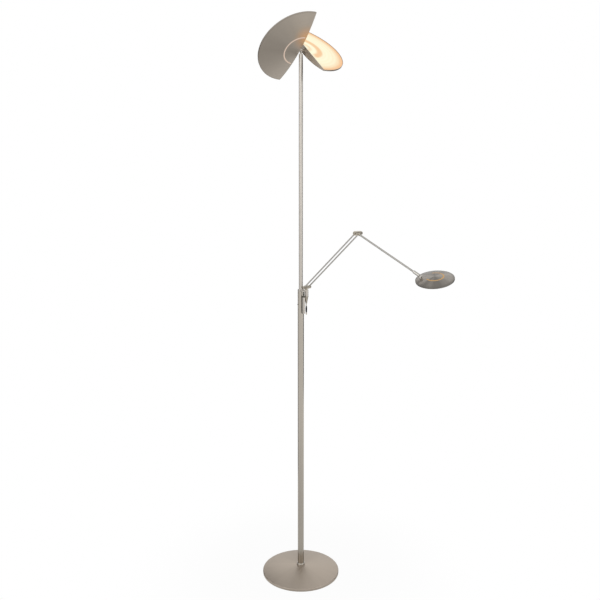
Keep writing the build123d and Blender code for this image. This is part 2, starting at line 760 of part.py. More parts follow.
def lens_profile(inner, outer, outer_face, inner_face):
    """Section of a ring lens: a tongue in the slot and a flange behind the sheet."""
    flange_in = inner - lens_flange
    flange_out = outer + lens_flange
    return [
        (inner, outer_face(inner)),
        (outer, outer_face(outer)),
        (outer, inner_face(outer)),
        (flange_out, inner_face(flange_out)),
        (flange_out, inner_face(flange_out, lens_thickness)),
        (flange_in, inner_face(flange_in, lens_thickness)),
        (flange_in, inner_face(flange_in)),
        (inner, inner_face(inner)),
    ]


def reading_inner(reach, below=0.0):
    return reading_shell(reach) - reading_slant * reading_sheet - SEAT - below


with BuildPart() as reading_ring_lens:
    lens_play = degrees(asin(SEAT / reading_slot_radius))
    lens_start = slot_start + lens_play
    lens_dir = turn(head_reach, head_normal, lens_start)
    with BuildSketch(Plane(origin=head_centre, x_dir=lens_dir, z_dir=lens_dir.cross(head_normal))):
        with BuildLine():
            Polyline(
                lens_profile(
                    reading_slot_radius - reading_slot_width / 2 + SEAT,
                    reading_slot_radius + reading_slot_width / 2 - SEAT,
                    reading_shell,
                    reading_inner,
                ),
                close=True,
            )
        make_face()
    revolve(axis=head_axis, revolution_arc=2 * (reading_slot_half_angle - lens_play))
finish(reading_ring_lens, "reading_ring_lens")

with BuildPart() as stud_nut:
    with BuildSketch(mount_plane.offset(nut_level)) as nut_face:
        RegularPolygon(stud_nut_radius, 6)
        Circle(stud_radius + FIT, mode=Mode.SUBTRACT)
    extrude(amount=stud_nut_height)
finish(stud_nut, "stud_nut")

with BuildPart() as reading_led_board:
    disc(head_plane.offset(reading_board_level), reading_board_radius, reading_board_thickness)
    spigot_height = inner_apex - GAP - reading_board_level - reading_board_thickness
    disc(head_plane.offset(reading_board_level + reading_board_thickness), spigot_radius, spigot_height)
finish(reading_led_board, "reading_led_board")

with BuildPart() as reading_diffuser:
    disc(
        head_plane.offset(reading_diffuser_inset),
        inner_radius - SEAT,
        reading_diffuser_thickness,
    )
finish(reading_diffuser, "reading_diffuser")

# ================================================================ TORCHIERE HEAD
hub_height = upper_pole_top + hub_rise
hub = Vector(0, 0, hub_height)
axle_line = Vector(cos(radians(axle_azimuth)), sin(radians(axle_azimuth)), 0)
nut_start = wall_offset + cut_plate + GAP / 3
axle_half = nut_start + axle_nut_height + axle_thread


def on_axle(distance):
    return Plane(origin=hub + axle_line * distance, x_dir=upright, z_dir=axle_line)


hub_half = wall_offset - friction_washer - 2 * GAP / 3
with BuildPart() as head_neck:
    plug_fit = upper_pole_radius - upper_pole_wall - FIT
    disc(level(upper_pole_top - neck_plug_length), plug_fit, neck_plug_length)
    disc(level(upper_pole_top), upper_pole_radius, neck_cap_height)
    fillet(head_neck.edges().group_by(Axis.Z)[-1], radius=neck_cap_round)
    disc(level(upper_pole_top), neck_radius, hub_height - upper_pole_top)
    disc(on_axle(-hub_half), hub_radius, 2 * hub_half)
    disc(on_axle(-hub_half), axle_radius + FIT, 2 * hub_half, mode=Mode.SUBTRACT)
finish(head_neck, "head_neck")

with BuildPart() as head_axle:
    disc(on_axle(-axle_half), axle_radius, 2 * axle_half)
    chamfer(head_axle.edges().filter_by(GeomType.CIRCLE), length=axle_chamfer)
finish(head_axle, "head_axle")

with BuildPart() as axle_washers:
    for side in (-1, 1):
        washer_at = side * (hub_half + GAP / 3) - (friction_washer if side < 0 else 0)
        disc(on_axle(washer_at), hub_radius, friction_washer, bore=axle_radius + FIT)
finish(axle_washers, "axle_washers")

with BuildPart() as axle_nuts:
    for side in (-1, 1):
        nut_at = side * nut_start - (axle_nut_height if side < 0 else 0)
        with BuildSketch(on_axle(nut_at)) as nut_face:
            RegularPolygon(axle_nut_radius, 6)
            Circle(axle_radius + FIT, mode=Mode.SUBTRACT)
        extrude(amount=axle_nut_height)
finish(axle_nuts, "axle_nuts")


def dish_shell(reach):
    """Outer face of a dish below its rim plane (negative down)."""
    return -dish_lip - cap_rise(dish_radius, dish_depth - dish_lip, reach)


def dish_inner(reach, above=0.0):
    return dish_shell(reach) + dish_slant * dish_sheet + SEAT + above


def make_half_dish(side, direction, tilt):
    """Half dish on the axle: shade, cut plate, ring lens, LED board and diffuser."""
    opening = turn(upright, direction, tilt)
    centre = hub + direction * wall_offset + opening * axle_drop
    sideways = opening.cross(direction)
    axis = Axis(centre, opening)
    section = Plane(origin=centre, x_dir=sideways * -1, z_dir=direction * -1)
    wall = Plane(origin=centre, x_dir=sideways, z_dir=direction)
    flat = Plane(origin=centre, x_dir=direction, z_dir=opening)
    inner = dish_radius - dish_sheet
    inner_depth = dish_depth - dish_sheet
    inner_rise = inner_depth - dish_lip
    ledge_top = -diffuser_inset - diffuser_thickness
    ledge_in = inner - ledge_width

    with BuildPart() as shade:
        with BuildSketch(section):
            with BuildLine():
                Polyline((inner, 0), (dish_radius, 0), (dish_radius, -dish_lip))
                ThreePointArc(
                    (dish_radius, -dish_lip),
                    (dish_radius / 2, dish_shell(dish_radius / 2)),
                    (0, -dish_depth),
                )
                Line((0, -dish_depth), (0, -inner_depth))
                ThreePointArc(
                    (0, -inner_depth),
                    (inner / 2, -dish_lip - cap_rise(inner, inner_rise, inner / 2)),
                    (inner, -dish_lip),
                )
                Polyline(
                    (inner, -dish_lip),
                    (inner, ledge_top - ledge_thickness),
                    (ledge_in, ledge_top - ledge_thickness),
                    (ledge_in, ledge_top),
                    (inner, ledge_top),
                    (inner, 0),
                )
            make_face()
        revolve(axis=axis, revolution_arc=180)
        spare = degrees(asin(dish_slot_end / dish_slot_radius))
        slot_from = sideways * -1
        slot_dir = turn(slot_from, opening, spare)
        with BuildSketch(Plane(origin=centre, x_dir=slot_dir, z_dir=slot_dir.cross(opening))):
            with Locations((dish_slot_radius, -dish_depth)):
                Rectangle(dish_slot_width, dish_depth)
        revolve(axis=axis, revolution_arc=180 - 2 * spare, mode=Mode.SUBTRACT)
    finish(shade, f"{side}_shade")

    with BuildPart() as plate:
        edge = inner - SEAT
        with BuildSketch(wall):
            with BuildLine():
                Line((-edge, 0), (edge, 0))
                Line((edge, 0), (edge, -dish_lip))
                ThreePointArc(
                    (edge, -dish_lip),
                    (0, -inner_depth + SEAT),
                    (-edge, -dish_lip),
                )
                Line((-edge, -dish_lip), (-edge, 0))
            make_face()
            for hand in (-1, 1):
                with Locations((hand * (edge - ledge_width / 2), ledge_top - ledge_thickness / 2)):
                    notch = ledge_width + 2 * GAP
                    Rectangle(notch, ledge_thickness + 2 * GAP, mode=Mode.SUBTRACT)
        extrude(amount=cut_plate)
        bore_plane = Plane(origin=hub + direction * wall_offset, z_dir=direction)
        disc(bore_plane, axle_radius + FIT, cut_plate, mode=Mode.SUBTRACT)
    finish(plate, f"{side}_cut_plate")

    with BuildPart() as lens:
        play = degrees(asin((dish_slot_end + SEAT) / dish_slot_radius))
        lens_from = turn(slot_from, opening, play)
        with BuildSketch(Plane(origin=centre, x_dir=lens_from, z_dir=lens_from.cross(opening))):
            with BuildLine():
                Polyline(
                    lens_profile(
                        dish_slot_radius - dish_slot_width / 2 + SEAT,
                        dish_slot_radius + dish_slot_width / 2 - SEAT,
                        dish_shell,
                        dish_inner,
                    ),
                    close=True,
                )
            make_face()
        revolve(axis=axis, revolution_arc=180 - 2 * play)
    finish(lens, f"{side}_ring_lens")

    with BuildPart() as board:
        board_floor = dish_inner(board_radius, GAP)
        with BuildSketch(flat.offset(board_floor)):
            Circle(board_radius)
            with Locations((board_start - board_radius, 0)):
                Rectangle(2 * board_radius, 2 * board_radius, mode=Mode.SUBTRACT)
        extrude(amount=board_thickness)
        post_foot_level = dish_inner(board_post_reach)
        for hand in (-1, 1):
            angle = radians(hand * board_post_angle)
            place = (board_post_reach * cos(angle), board_post_reach * sin(angle))
            spot = centre + direction * place[0] + sideways * place[1] + opening * post_foot_level
            post_plane = Plane(origin=spot, z_dir=opening)
            disc(post_plane, board_post_radius, board_floor - post_foot_level)
    finish(board, f"{side}_led_board")

    with BuildPart() as diffuser:
        with BuildSketch(flat.offset(ledge_top)):
            Circle(inner - SEAT)
            with Locations((cut_plate + SEAT - dish_radius, 0)):
                Rectangle(2 * dish_radius, 2 * dish_radius, mode=Mode.SUBTRACT)
        extrude(amount=diffuser_thickness)
    finish(diffuser, f"{side}_diffuser")


make_half_dish("left", axle_line * -1, left_tilt)
make_half_dish("right", axle_line, right_tilt)
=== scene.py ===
"""Looks of a torchiere floor lamp with a reading light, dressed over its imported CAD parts."""

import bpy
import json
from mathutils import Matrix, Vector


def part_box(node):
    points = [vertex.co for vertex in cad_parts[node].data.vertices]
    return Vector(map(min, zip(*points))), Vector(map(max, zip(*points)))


bl_info = {
    "name": "Torchiere floor lamp with reading light",
    "version": (1, 0, 0),
    "blender": (4, 5, 0),
    "location": "3D View > Sidebar > Floor lamp",
    "description": "Finishes, lights and stage of a jointed floor lamp",
    "category": "Object",
}

import json
import math
from functools import cached_property

import bpy
from mathutils import Quaternion, Vector

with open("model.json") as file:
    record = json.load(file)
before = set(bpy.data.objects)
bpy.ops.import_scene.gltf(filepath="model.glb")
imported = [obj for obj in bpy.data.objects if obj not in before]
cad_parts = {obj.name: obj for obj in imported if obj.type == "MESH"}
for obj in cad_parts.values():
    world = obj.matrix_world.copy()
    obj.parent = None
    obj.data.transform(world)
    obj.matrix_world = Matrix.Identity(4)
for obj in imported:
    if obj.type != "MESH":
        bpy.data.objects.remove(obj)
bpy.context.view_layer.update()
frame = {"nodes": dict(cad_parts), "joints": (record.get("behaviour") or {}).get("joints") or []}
NODES = frame["nodes"]
JOINTS = {joint["name"]: joint for joint in frame["joints"]}
SIDES = ("left", "right")

UP = Vector((0, 0, 1))
ACROSS = Vector((1, 0, 0))
POLE_FOOT = Vector((0, 0, 0))
MM = 0.001

# Darker edge of a dish and of the reading head: where it starts, as a share of the radius, and how strong
# it is.
DISH_EDGE = (0.965, 0.35)
READING_EDGE = (0.85, 0.6)

# Painted shade on the tube dimmer: its side towards the pole and a little to the front is darkened, for
# the pole's shade and its dark reflection.
TUBE_PAINTED_SHADE_SIDE = Vector((-1, -0.35, 0)).normalized()
TUBE_PAINTED_SHADE_STRENGTH = 0.85

# Brushed lines: size and detail of their noise, and how fast each kind changes on its way.
BRUSH_SCALE = 0.5
BRUSH_DETAIL = 3.0
RING_DRIFT = 2.5
LINE_DRIFT = 12.0
STRIPE_DRIFT = 3.0
LINES_TO_A_STRIPE = 8

# Marks on a lit face, in shares of its radius. An arc is given by its middle, the half
# width of its core and the half width at which it has faded, and a rim by where it starts
# and where it is full. The ripples' radians run from the centre to the rim, and the outer
# arc fades in over a distance from the dish's cut.
ARC = (0.385, 0.03, 0.12)
ARC_FADE_IN = 20 * MM
INNER_ARC = (0.13, 0.0, 0.09)
INNER_ARC_SHARE = 0.6
ARC_STRENGTH = 0.85
RIPPLE_RADIANS = 62.0
RIPPLE_START = (0.3, 0.5)
RIPPLE_STRENGTH = 0.13
SOFT_RIM = (0.6, 0.9)
SOFT_RIM_STRENGTH = 0.22
BRIGHT_RIM = (0.80, 0.99)

# Warm spill of the right dish on the back of the left one, beside its cut.
SPILL_PLACE = 50 * MM
SPILL_REACH = 55 * MM
SPILL_TINT = 0.42
SPILL_STRENGTH = 0.32

# Emitters on a light board: their spacing, and an emitter's middle and half widths as
# shares of it.
EMITTER_PITCH = 8 * MM
EMITTER = (0.5, 0.16, 0.2)
BOARD_WHITE = (0.82, 0.82, 0.8)
EMITTER_YELLOW = (0.85, 0.62, 0.12)

# Stage, in metres and watts. A fade is given by where it starts and ends from the pole, a
# card by its two feet, and a light by its place, size and power.
FLOOR_RADIUS = 9.0
FLOOR_CORNERS = 96
SHADOW_SHARE = 0.045
SHADOW_FADE = (0.2, 0.7)
REFLECTED_SHARE = 0.5
REFLECTED_FADE = (0.3, 2.0)
ROOM_GLOW = 0.55
CARD_HEIGHT = 2.6
CARDS = {
    "left_card": ((-0.95, 0.25), (-0.5, 0.87)),
    "right_card": ((1.5, 2.2), (2.5, 0.45)),
}
LIGHTS_AIM = Vector((0, 0, 1.0))
LIGHTS = {
    "key_light": ((-2.2, -2.2, 2.6), (1.8, 2.4), 16),
    "fill_light": ((2.5, -1.6, 1.7), (1.4, 2.4), 7),
}
SENSOR_MM = 36.0


# ------------------------------------------------------------------ settings
class LampFinishes(bpy.types.PropertyGroup):
    """Colours of the lamp's finishes."""

    shade_tone: bpy.props.FloatVectorProperty(
        name="Shades", description="Satin nickel of the two half dishes and their cut walls",
        default=(0.375, 0.332, 0.283), subtype="COLOR", min=0, max=1,
    )
    reading_tone: bpy.props.FloatVectorProperty(
        name="Reading head", description="Satin nickel of the small head",
        default=(0.265, 0.245, 0.220), subtype="COLOR", min=0, max=1,
    )
    base_tone: bpy.props.FloatVectorProperty(
        name="Base", description="Satin nickel of the round base",
        default=(0.445, 0.385, 0.325), subtype="COLOR", min=0, max=1,
    )
    pole_tone: bpy.props.FloatVectorProperty(
        name="Upper pole", description="Satin nickel of the upper pole, fittings and tube dimmer",
        default=(0.515, 0.48, 0.435), subtype="COLOR", min=0, max=1,
    )
    lower_pole_tone: bpy.props.FloatVectorProperty(
        name="Lower pole", description="Slightly warmer satin nickel of the lower pole",
        default=(0.435, 0.398, 0.345), subtype="COLOR", min=0, max=1,
    )
    yoke_tone: bpy.props.FloatVectorProperty(
        name="Yoke", description="Near-polished nickel of the reading head's yoke and its pin",
        default=(0.62, 0.585, 0.54), subtype="COLOR", min=0, max=1,
    )
    rod_tone: bpy.props.FloatVectorProperty(
        name="Rods", description="Drawn rods and wrist sleeve of the reading arm",
        default=(0.43, 0.415, 0.385), subtype="COLOR", min=0, max=1,
    )
    knuckle_tone: bpy.props.FloatVectorProperty(
        name="Knuckles", description="Turned barrels, eyes and knobs of the arm, and the stick's metal",
        default=(0.52, 0.475, 0.40), subtype="COLOR", min=0, max=1,
    )
    screw_tone: bpy.props.FloatVectorProperty(
        name="Set screw", description="Dark set screw at the top of the lower pole",
        default=(0.105, 0.08, 0.06), subtype="COLOR", min=0, max=1,
    )
    hanger_tone: bpy.props.FloatVectorProperty(
        name="Hanger", description="Dark olive hanger above the tube dimmer",
        default=(0.105, 0.10, 0.08), subtype="COLOR", min=0, max=1,
    )
    grip_tone: bpy.props.FloatVectorProperty(
        name="Grip", description="Black grip of the stick dimmer",
        default=(0.012, 0.012, 0.012), subtype="COLOR", min=0, max=1,
    )


class LampLight(bpy.types.PropertyGroup):
    """Colours and strength of what glows."""

    lit_tone: bpy.props.FloatVectorProperty(
        name="Lit face", description="Opal face of a lit dish",
        default=(1.0, 0.975, 0.72), subtype="COLOR", min=0, max=1,
    )
    rim_tone: bpy.props.FloatVectorProperty(
        name="Rim glow", description="Orange edge and peach marks of a lit dish, and its spill",
        default=(0.92, 0.50, 0.24), subtype="COLOR", min=0, max=1,
    )
    ring_tone: bpy.props.FloatVectorProperty(
        name="Dish ring", description="Light ring in the back of a dish",
        default=(0.60, 0.47, 0.38), subtype="COLOR", min=0, max=1,
    )
    reading_ring_tone: bpy.props.FloatVectorProperty(
        name="Reading ring", description="Light ring on the reading head",
        default=(0.45, 0.28, 0.125), subtype="COLOR", min=0, max=1,
    )
    face_strength: bpy.props.FloatProperty(
        name="Face strength", description="Strength of the lit faces",
        default=0.88, min=0,
    )
    ring_strength: bpy.props.FloatProperty(
        name="Ring strength", description="Strength of the light rings",
        default=0.85, min=0,
    )


class LampSizes(bpy.types.PropertyGroup):
    """Sizes that the finishes follow, as in the CAD parts."""

    dish_radius: bpy.props.FloatProperty(
        name="Dish radius", description="Radius of a half dish",
        default=0.1395, unit="LENGTH", min=0.01,
    )
    dish_tilt_left: bpy.props.FloatProperty(
        name="Left tilt", description="Tilt of the left half dish at rest",
        default=math.radians(39.3), unit="ROTATION",
    )
    dish_tilt_right: bpy.props.FloatProperty(
        name="Right tilt", description="Tilt of the right half dish at rest",
        default=math.radians(40.5), unit="ROTATION",
    )
    wall_offset: bpy.props.FloatProperty(
        name="Wall offset", description="Cut wall of a dish to the hub's centre",
        default=0.0098, unit="LENGTH",
    )
    axle_drop: bpy.props.FloatProperty(
        name="Axle drop", description="Axle below the rim of a dish",
        default=0.0146, unit="LENGTH",
    )
    reading_radius: bpy.props.FloatProperty(
        name="Reading radius", description="Radius of the reading head",
        default=0.060, unit="LENGTH", min=0.01,
    )
    brush_pitch: bpy.props.FloatProperty(
        name="Brush pitch", description="Spacing of the brushed lines",
        default=0.0004, unit="LENGTH", min=0.0001,
    )


class LampCamera(bpy.types.PropertyGroup):
    """Where the picture is taken from."""

    height: bpy.props.FloatProperty(
        name="Camera height", description="Height of the camera",
        default=1.354, unit="LENGTH",
    )
    distance: bpy.props.FloatProperty(
        name="Camera distance", description="Distance from the camera to the pole",
        default=2.375, unit="LENGTH",
    )
    shift: bpy.props.FloatProperty(
        name="Camera shift", description="How far the camera stands to the right of the pole",
        default=-0.003, unit="LENGTH",
    )
    tilt: bpy.props.FloatProperty(
        name="Camera tilt", description="Angle of the view from straight down",
        default=math.radians(82), unit="ROTATION",
    )
    lens: bpy.props.FloatProperty(
        name="Lens", description="Focal length of the camera in millimetres",
        default=40.86, unit="CAMERA",
    )


# ------------------------------------------------------------------ places
def joint_place(name):
    """Where a joint is and the line it turns about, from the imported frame."""
    joint = JOINTS[name]
    return Vector(joint["pos_m"]), Vector(joint["axis"]).normalized()


def box_middle(name):
    """The middle of a piece's box."""
    low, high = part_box(name)
    return (low + high) / 2


def turned(direction, line, angle):
    """A direction turned about a line through the origin."""
    return Quaternion(line, angle) @ direction


def dish_place(side, sizes):
    """Centre of a dish's rim circle, its axis and the way from the cut wall outwards."""
    hub, line = joint_place(f"{side}_dish_tilt")
    opening = turned(UP, line, getattr(sizes, f"dish_tilt_{side}"))
    return hub + line * sizes.wall_offset + opening * sizes.axle_drop, opening, line


def reading_place():
    """A point on the reading head's own axis, and that axis."""
    _, axis = joint_place("head_swivel")
    return box_middle("reading_diffuser"), axis


def settings():
    """The lamp's finishes, light and sizes."""
    scene = bpy.context.scene
    return scene.lamp_finishes, scene.lamp_light, scene.lamp_sizes


def put_in_scene(name, data):
    """A new object that shows a mesh, light or camera."""
    made = bpy.data.objects.new(name, data)
    bpy.context.scene.collection.objects.link(made)
    return made


# ------------------------------------------------------------------ shader maths
class Value:
    """A shader socket; arithmetic on it adds the nodes that work it out."""

    def __init__(self, finish, socket):
        self.finish = finish
        self.socket = socket

    def __add__(self, other):
        return self.finish.maths("ADD", self, other)

    def __sub__(self, other):
        return self.finish.maths("SUBTRACT", self, other)

    def __rsub__(self, other):
        return self.finish.maths("SUBTRACT", other, self)

    def __mul__(self, other):
        return self.finish.maths("MULTIPLY", self, other)

    def __truediv__(self, other):
        return self.finish.maths("DIVIDE", self, other)

    def __rtruediv__(self, other):
        return self.finish.maths("DIVIDE", other, self)

    def __pow__(self, other):
        return self.finish.maths("POWER", self, other)

    def __rpow__(self, other):
        return self.finish.maths("POWER", other, self)

    def __abs__(self):
        return self.finish.maths("ABSOLUTE", self)

    __radd__ = __add__
    __rmul__ = __mul__

    def at_least(self, other):
        return self.finish.maths("MAXIMUM", self, other)

    def fraction(self):
        return self.finish.maths("FRACT", self)

    def sine(self):
        return self.finish.maths("SINE", self)

    def step(self, start, end):
        """0 before start, 1 after end, smooth between."""
        sockets = {"Value": self, "From Min": start, "From Max": end}
        return self.finish.node("ShaderNodeMapRange", {"interpolation_type": "SMOOTHSTEP"}, sockets)

    def band(self, middle, core, edge):
        """1 within the core's distance of a middle, 0 past the edge's, smooth between."""
        return 1 - abs(self - middle).step(core, edge)

    # From here on the socket is a vector.
    def plus(self, other):
        return self.finish.vectors("ADD", self, other)

    def minus(self, other):
        return self.finish.vectors("SUBTRACT", self, other)

    def scaled(self, share):
        return self.finish.scaled(self, share)

    def unit(self):
        return self.finish.vectors("NORMALIZE", self)

    def length(self):
        return self.finish.vectors("LENGTH", self, out="Value")

    def along(self, direction):
        """How far this vector goes along a direction."""
        return self.finish.vectors("DOT_PRODUCT", self, direction, out="Value")


class Finish:
    """The nodes of a material or a world under construction; one method adds any node."""

    def __init__(self, owner):
        self.owner = owner
        owner.use_nodes = True
        self.tree = owner.node_tree
        self.tree.nodes.clear()

    @classmethod
    def of_material(cls, name):
        """The finish of a new material."""
        return cls(bpy.data.materials.new(name))

    @cached_property
    def place(self):
        """The place on the piece, in the frame at rest."""
        return self.node("ShaderNodeTexCoord", out="Object")

    def node(self, kind, settings=None, sockets=None, out=0):
        """Adds a node: its settings first, then a link or a value for each socket."""
        made = self.tree.nodes.new(kind)
        for key, setting in (settings or {}).items():
            setattr(made, key, setting)
        for key, value in (sockets or {}).items():
            socket = made.inputs[key]
            if isinstance(value, Value):
                self.tree.links.new(value.socket, socket)
            elif socket.type == "RGBA":
                socket.default_value = (*value, 1)
            else:
                socket.default_value = value
        return Value(self, made.outputs[out]) if made.outputs else None

    def maths(self, operation, *numbers):
        return self.node("ShaderNodeMath", {"operation": operation}, dict(enumerate(numbers)))

    def vectors(self, operation, *vectors, out=0):
        return self.node("ShaderNodeVectorMath", {"operation": operation}, dict(enumerate(vectors)), out)

    def scaled(self, vector, share):
        """A fixed or worked out vector times a number."""
        return self.node("ShaderNodeVectorMath", {"operation": "SCALE"}, {0: vector, "Scale": share})

    def mix(self, factor, first, second):
        """Colour between two colours; 6, 7 and 2 are the Mix node's colour sockets."""
        return self.node("ShaderNodeMix", {"data_type": "RGBA"}, {0: factor, 6: first, 7: second}, out=2)

    def swing(self, factor, tone, dark, light):
        """A tone that goes from a darker to a lighter share of itself."""
        return self.mix(factor, lighter(tone, dark), lighter(tone, light))

    def noise(self, place, scale, detail=2.0, roughness=0.5):
        sockets = {"Vector": place, "Scale": scale, "Detail": detail, "Roughness": roughness}
        return self.node("ShaderNodeTexNoise", sockets=sockets)

    def cells(self, scale, out="Distance"):
        return self.node("ShaderNodeTexVoronoi", sockets={"Vector": self.place, "Scale": scale}, out=out)

    def bump(self, height, depth, strength):
        sockets = {"Height": height, "Distance": depth, "Strength": strength}
        return self.node("ShaderNodeBump", sockets=sockets)

    def blend(self, factor, first, second):
        """Shader between two shaders."""
        return self.node("ShaderNodeMixShader", sockets={0: factor, 1: first, 2: second})

    def ray(self, kind):
        """1 for rays of a kind, otherwise 0."""
        return self.node("ShaderNodeLightPath", out=f"Is {kind} Ray")

    def surface(self, **sockets):
        """Ends the material in one surface shader; names use _ for a space."""
        named = {key.replace("_", " "): value for key, value in sockets.items()}
        shader = self.node("ShaderNodeBsdfPrincipled", sockets=named)
        self.node("ShaderNodeOutputMaterial", sockets={"Surface": shader})
        return self.owner


def lighter(colour, share):
    """A colour made lighter, or darker by a share under 1."""
    return tuple(min(1.0, c * share) for c in colour)


def mottle(*layers):
    """Light and dark about 0, from noises and the strength of each."""
    first, *others = [(noise - 0.5) * strength for noise, strength in layers]
    return sum(others, first)


def round_axis(finish, centre, axis):
    """Distance from an axis, and the direction outwards from it."""
    offset = finish.place.minus(centre)
    flat = offset.minus(finish.scaled(axis, offset.along(axis)))
    return flat.length(), flat.unit()


def straight_brush(finish, line, pitch):
    """Fine lines along a direction, and the wider stripes that they gather in."""
    run = finish.scaled(line, finish.place.along(line))
    across = finish.place.minus(run)
    return [
        finish.noise(across.scaled(1 / gap).plus(run.scaled(drift)), BRUSH_SCALE, BRUSH_DETAIL)
        for gap, drift in ((pitch, LINE_DRIFT), (pitch * LINES_TO_A_STRIPE, STRIPE_DRIFT))
    ]


def clothe(material, *names):
    """Gives CAD nodes a material."""
    for name in names:
        mesh = NODES[name].data
        mesh.materials.clear()
        mesh.materials.append(material)


# ------------------------------------------------------------------ finishes
# Noise scales are per metre, so 900 gives grain of about a millimetre.
def satin_disc(
    name, centre, axis, tone, pitch, roughness=0.42, edge=None, bow=None, streaks=0.4, swing=0.18,
):
    """Satin nickel spun on a lathe: fine rings, soft clouds and streaks.

    An edge is the disc's radius, the share of it where the edge starts, and its strength.
    A bow of light lies to both sides of the centre: its direction and its strength.
    """
    finish = Finish.of_material(name)
    reach, outward = round_axis(finish, centre, axis)
    rings = finish.scaled(axis, reach / pitch).plus(outward.scaled(RING_DRIFT))
    brush = finish.noise(rings, BRUSH_SCALE, BRUSH_DETAIL)
    cloud = finish.noise(finish.place, scale=9.0, detail=3.0)
    fan = finish.noise(outward, scale=2.2)
    shade = mottle((brush, 0.25), (cloud, 0.3), (fan, streaks)) + 0.5
    if bow:
        direction, strength = bow
        shade = shade + (outward.along(direction) ** 2 - 0.5) * strength
    colour = finish.swing(shade.at_least(0.0), tone, dark=1 - swing, light=1 + swing)
    if edge:
        radius, start, strength = edge
        edge_dark_tone = lighter(tone, 0.55)
        colour = finish.mix(reach.step(radius * start, radius) * strength, colour, edge_dark_tone)
    return finish, {
        "Base_Color": colour,
        "Metallic": 1.0,
        "Roughness": roughness + mottle((brush, 0.08), (cloud, 0.1)),
        "Normal": finish.bump(brush, depth=0.02 * MM, strength=0.12),
    }


def satin_run(name, line, tone, pitch, roughness=0.26, painted_shade_side=None):
    """Satin nickel brushed along its length, with painted shade darkening one side where one is given.

    A painted shade side is a point on the piece's axis, the side's direction and its strength.
    """
    finish = Finish.of_material(name)
    lines, stripes = straight_brush(finish, line, pitch)
    cloud = finish.noise(finish.place, scale=14.0, detail=3.0)
    shade = mottle((lines, 0.3), (stripes, 0.9), (cloud, 0.3)) + 0.5
    colour = finish.swing(shade, tone, dark=0.84, light=1.16)
    # Painted shade: the side that faces the given direction is darkened towards a third of the tone.
    if painted_shade_side:
        centre, towards, strength = painted_shade_side
        _, outward = round_axis(finish, centre, line)
        painted_shade_facing = outward.along(towards).step(-0.1, 0.9)
        painted_shade_tone = lighter(tone, 0.3)
        colour = finish.mix(painted_shade_facing * strength, colour, painted_shade_tone)
    return finish.surface(
        Base_Color=colour, Metallic=1.0, Roughness=roughness + mottle((lines, 0.08), (cloud, 0.08)),
        Normal=finish.bump(lines, depth=0.01 * MM, strength=0.04),
    )


def bright_run(name, line, tone, pitch, roughness=0.24):
    """Near-polished nickel with faint drawn lines and handling marks."""
    finish = Finish.of_material(name)
    lines, stripes = straight_brush(finish, line, pitch)
    marks = finish.noise(finish.place, scale=60.0, detail=4.0, roughness=0.6)
    shade = mottle((lines, 0.2), (stripes, 0.4), (marks, 0.3)) + 0.5
    return finish.surface(
        Base_Color=finish.swing(shade, tone, dark=0.88, light=1.1), Metallic=1.0,
        Roughness=roughness + (marks - 0.4).at_least(0.0) * 0.3,
        Normal=finish.bump(lines, depth=0.01 * MM, strength=0.03),
    )


def dark_coat(name, tone):
    """Dark low-gloss coat with fine orange peel."""
    finish = Finish.of_material(name)
    peel = finish.noise(finish.place, scale=900.0)
    cloud = finish.noise(finish.place, scale=35.0, detail=3.0)
    return finish.surface(
        Base_Color=finish.swing(cloud, tone, dark=0.75, light=1.35), Metallic=0.35,
        Roughness=0.38 + cloud * 0.12, Normal=finish.bump(peel, depth=0.04 * MM, strength=0.5),
    )


def opal_face(name, centre, axis, line, radius, light):
    """Lit opal sheet: warm white, faint rings, peach arcs about the centre and an orange rim."""
    finish = Finish.of_material(name)
    reach, _ = round_axis(finish, centre, axis)
    share = reach / radius
    away = finish.place.minus(centre).along(line)
    ripple = (share * RIPPLE_RADIANS).sine() * 0.5 + 0.5
    arcs = share.band(*ARC) * away.step(0.0, ARC_FADE_IN) + share.band(*INNER_ARC) * INNER_ARC_SHARE
    unlit_tone = lighter(light.lit_tone, 0.16)
    ripple_tone = lighter(light.rim_tone, 1.1)
    ripples = ripple * share.step(*RIPPLE_START) * RIPPLE_STRENGTH
    colour = finish.mix(ripples, light.lit_tone, ripple_tone)
    soft_rim = share.step(*SOFT_RIM) * SOFT_RIM_STRENGTH
    for mark in (arcs * ARC_STRENGTH, soft_rim, share.step(*BRIGHT_RIM)):
        colour = finish.mix(mark, colour, light.rim_tone)
    return finish.surface(
        Base_Color=unlit_tone, Roughness=0.6, Specular_IOR_Level=0.1,
        Emission_Color=colour, Emission_Strength=light.face_strength,
    )


def ring_glow(name, tone, strength):
    """Frosted ring lens, softly and a little unevenly lit."""
    finish = Finish.of_material(name)
    grain = finish.noise(finish.place, scale=700.0)
    cloud = finish.noise(finish.place, scale=45.0)
    unlit_tone = lighter(tone, 0.4)
    return finish.surface(
        Base_Color=unlit_tone, Roughness=0.45 + grain * 0.15, Specular_IOR_Level=0.2,
        Emission_Color=finish.swing(cloud, tone, dark=0.9, light=1.1), Emission_Strength=strength,
        Normal=finish.bump(grain, depth=0.03 * MM, strength=0.3),
    )


def light_board(name, centre, axis, line):
    """White board with rows of small yellow light emitters."""
    finish = Finish.of_material(name)
    offset = finish.place.minus(centre)
    rows, columns = (
        (offset.along(direction) / EMITTER_PITCH).fraction().band(*EMITTER)
        for direction in (line, axis.cross(line))
    )
    grain = finish.noise(finish.place, scale=500.0)
    colour = finish.mix(rows * columns, BOARD_WHITE, EMITTER_YELLOW)
    return finish.surface(Base_Color=colour, Roughness=0.4 + grain * 0.15)


